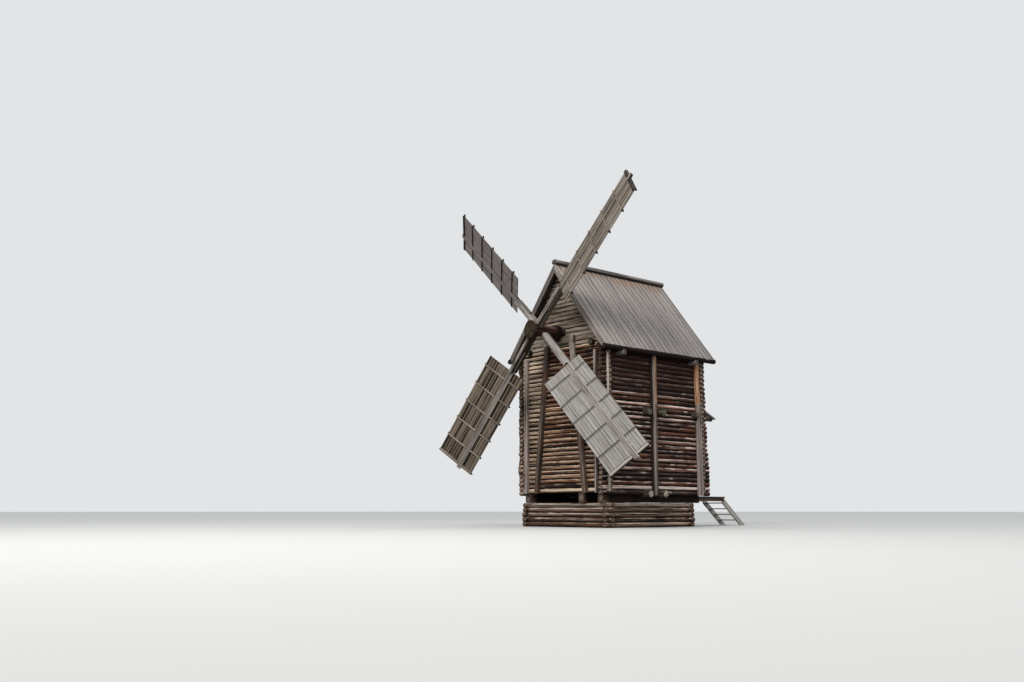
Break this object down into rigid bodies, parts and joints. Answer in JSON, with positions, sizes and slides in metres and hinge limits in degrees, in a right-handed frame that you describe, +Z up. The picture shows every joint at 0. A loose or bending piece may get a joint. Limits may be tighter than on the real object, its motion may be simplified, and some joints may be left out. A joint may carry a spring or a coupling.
{
  "type": "traditional windmill",
  "caption": "Log post windmill with a steep boarded roof and boarded sails; the body turns on a post above a log crib, and the sails turn on the windshaft.",
  "frame": {"origin": "ground level, on the axis of the post that the mill turns on", "axes": "+Z up, -Y towards the sails, +Y towards the entrance, +X to the right seen from the sails"},
  "size_m": [10.5597, 10.5999, 12.2088],
  "materials": {
    "crib_logs": "weathered, matt",
    "post_oak": "weathered, matt",
    "wall_logs": "weathered, matt",
    "gable_logs": "weathered, matt",
    "roof_boards": "weathered, matt",
    "weathered_boards": "weathered, matt",
    "shaft_wood": "weathered, matt",
    "stock_timber": "weathered, matt",
    "sail_boards": "weathered, matt",
    "sail_bars": "weathered, matt",
    "frame_timber": "weathered, matt"
  },
  "bodies": {
    "base": {"crib_front": "crib_logs", "crib_left": "crib_logs", "crib_rear": "crib_logs", "crib_right": "crib_logs", "main_post": "post_oak", "post_clamp_logs": "crib_logs"},
    "mill": {"barge_boards": "weathered_boards", "bearer_beams": "frame_timber", "corner_plank": "weathered_boards", "cross_beams": "frame_timber", "crown_beams": "frame_timber", "crown_block": "frame_timber", "eave_logs": "frame_timber", "floor_boards": "weathered_boards", "front_clamps": "frame_timber", "front_gable": "gable_logs", "front_legs": "frame_timber", "front_wall": "wall_logs", "hood_brackets": "frame_timber", "hood_roof": "roof_boards", "left_wall": "wall_logs", "long_beams": "frame_timber", "neck_beam": "frame_timber", "porch_beams": "frame_timber", "porch_deck": "weathered_boards", "purlins": "frame_timber", "rear_gable": "gable_logs", "rear_wall_left": "wall_logs", "rear_wall_over_door": "wall_logs", "rear_wall_right": "wall_logs", "rear_wall_sill": "wall_logs", "ridge_cap": "weathered_boards", "right_wall": "wall_logs", "roof_left": "roof_boards", "roof_right": "roof_boards", "side_clamps_left": "frame_timber", "side_clamps_right": "frame_timber", "stair_stringers": "weathered_boards", "stair_treads": "weathered_boards", "tail_beam": "frame_timber", "tie_beams": "frame_timber", "under_beams": "frame_timber"},
    "rotor": {"sail_bars_1": "sail_bars", "sail_bars_2": "sail_bars", "sail_bars_3": "sail_bars", "sail_bars_4": "sail_bars", "sail_boards_1": "sail_boards", "sail_boards_2": "sail_boards", "sail_boards_3": "sail_boards", "sail_boards_4": "sail_boards", "stock_front": "stock_timber", "stock_rear": "stock_timber", "whip_1": "stock_timber", "whip_2": "stock_timber", "whip_3": "stock_timber", "whip_4": "stock_timber", "windshaft": "shaft_wood"}
  },
  "joints": [
    {"name": "mill_turn", "type": "hinge", "parent": "base", "child": "mill", "pos_m": [0, 0, 0], "axis": [0, 0, 1], "continuous": true},
    {"name": "sail_turn", "type": "hinge", "parent": "mill", "child": "rotor", "pos_m": [0, -3.4, 7.017], "axis": [0, 1, 0], "continuous": true}
  ]
}
